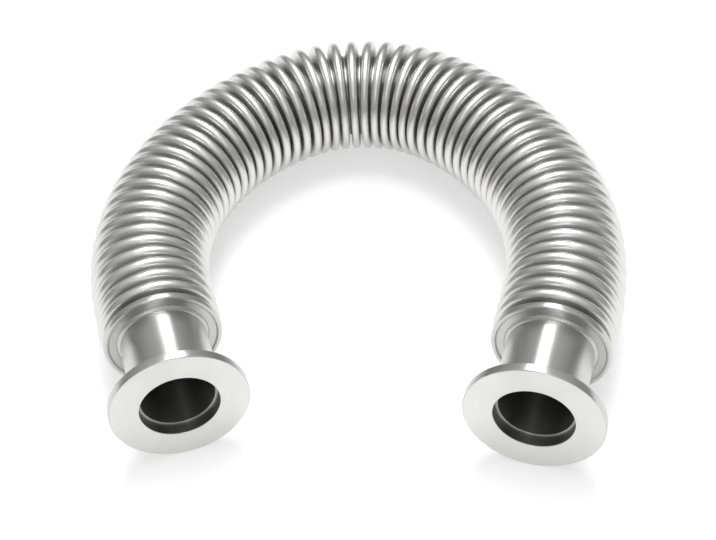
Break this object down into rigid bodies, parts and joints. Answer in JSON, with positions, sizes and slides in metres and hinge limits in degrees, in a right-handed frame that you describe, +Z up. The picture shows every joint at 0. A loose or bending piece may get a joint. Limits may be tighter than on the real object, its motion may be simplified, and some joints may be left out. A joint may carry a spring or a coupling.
{
  "type": "vacuum bellows hose",
  "caption": "Flexible metal vacuum hose, bent into a horseshoe: a formed steel bellows with an end ring and a small clamp flange welded to each end.",
  "frame": {"origin": "on the surface the hose lies on, under the middle of its outline", "axes": "+Z up; the crown of the bend is towards +Y, both flanges face roughly -Y, and the left flange is on the -X side"},
  "size_m": [0.1208, 0.1206, 0.03],
  "materials": {
    "formed_steel": "satin",
    "turned_steel": "satin"
  },
  "bodies": {
    "root": {"bellows": "formed_steel", "left_flange": "turned_steel", "left_end_ring": "turned_steel", "right_flange": "turned_steel", "right_end_ring": "turned_steel"}
  },
  "joints": []
}
